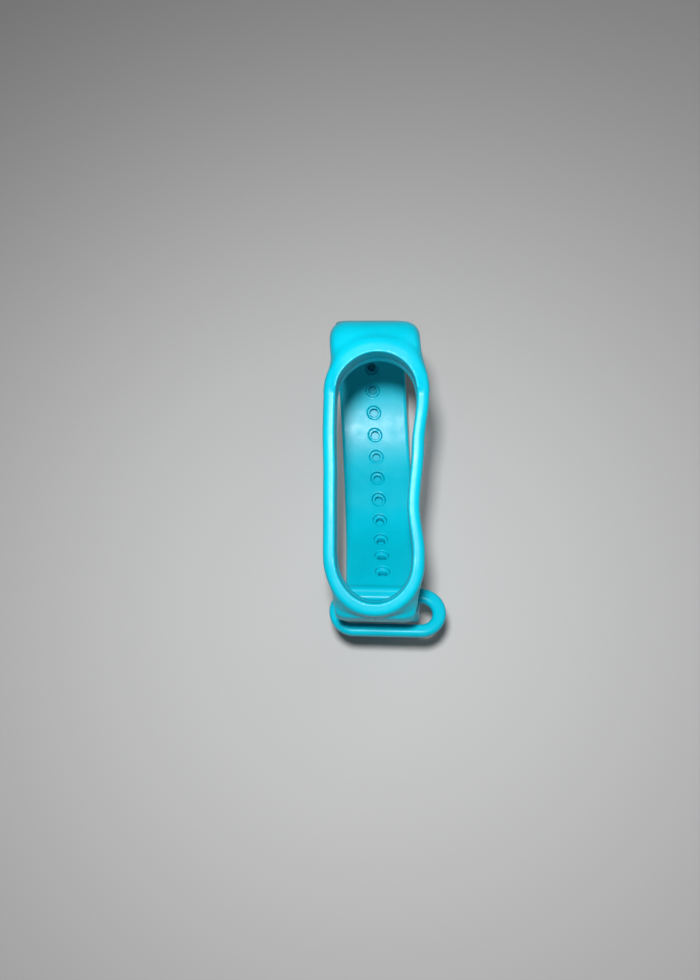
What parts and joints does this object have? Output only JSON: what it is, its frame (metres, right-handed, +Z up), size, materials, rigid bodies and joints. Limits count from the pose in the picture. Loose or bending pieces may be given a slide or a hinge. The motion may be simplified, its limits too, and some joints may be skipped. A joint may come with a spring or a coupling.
{
  "type": "fitness tracker band",
  "caption": "Silicone wristband for a pill-shaped activity tracker, closed through its keeper ring, with an open tracker frame and a snap stud clasp.",
  "frame": {"origin": "centre of the overall box in X and Y, on the surface the closed band stands on", "axes": "+Z up, +Y along the tracker opening towards its raised end, +X to the right when the keeper ring is nearest"},
  "size_m": [0.0246, 0.0708, 0.0459],
  "materials": {
    "band": "satin moulded silicone",
    "stud": "satin"
  },
  "bodies": {
    "strap_base": {"holes_strap": "band", "far_bend": "band", "ring_junction": "band", "keeper_ring": "band", "near_strap": "band", "tail_lower": "band"},
    "clasp_tip": {"tail_tip": "band", "stud_post": "stud", "stud_cap": "stud"},
    "tracker_body": {"capsule_frame": "band", "far_shoulder": "band", "far_strap": "band", "near_shoulder": "band"}
  },
  "joints": [
    {"name": "clasp_release", "type": "hinge", "parent": "strap_base", "child": "clasp_tip", "pos_m": [-0.00417, 0.02773, 0.00798], "axis": [-0.9974, -0.0715, 0], "range_deg": [0, 70], "stiffness_Nm_per_rad": 0.01},
    {"name": "loop_flex", "type": "hinge", "parent": "strap_base", "child": "tracker_body", "pos_m": [-0.0044, 0.03106, 0.02614], "axis": [-0.9974, -0.0715, 0], "range_deg": [0, 6], "stiffness_Nm_per_rad": 0.03}
  ]
}
